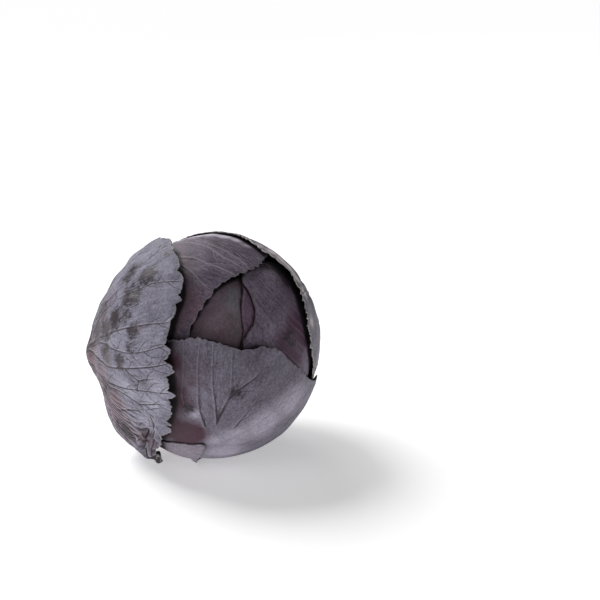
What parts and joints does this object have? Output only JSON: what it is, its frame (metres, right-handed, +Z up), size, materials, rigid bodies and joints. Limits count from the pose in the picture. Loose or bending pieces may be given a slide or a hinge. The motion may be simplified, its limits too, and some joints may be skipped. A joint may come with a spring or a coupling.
{
  "type": "red cabbage head",
  "caption": "Round red cabbage head lying on its side: a tight inner head wrapped in overlapping ribbed leaves with toothed margins, and a cut stem.",
  "frame": {"origin": "centre of the flat spot that the head rests on", "axes": "+Z up; -Z out of the flat spot; the stem points towards -X, turned to +Y and a little down; +X towards the crown"},
  "size_m": [0.1719, 0.1665, 0.1629],
  "materials": {
    "cut_stem": "pale, dry, cut woody stem",
    "inner_head": "dark purple-brown waxy leaf",
    "inner_leaf": "dark purple waxy leaf",
    "crown_leaf": "grey-purple waxy leaf",
    "top_leaf": "grey-purple waxy leaf",
    "back_leaf": "pale grey-lilac waxy leaf",
    "front_leaf": "blue-grey bloom over purple, satin",
    "under_leaf": "pale lilac waxy leaf",
    "side_leaf": "blue-grey waxy bloom with dark rubbed patches, satin"
  },
  "bodies": {
    "root": {"stump": "cut_stem", "inner_head": "inner_head", "inner_leaf": "inner_leaf", "crown_leaf": "crown_leaf", "top_leaf": "top_leaf", "back_leaf": "back_leaf", "front_leaf": "front_leaf", "under_leaf": "under_leaf", "side_leaf": "side_leaf"}
  },
  "joints": []
}
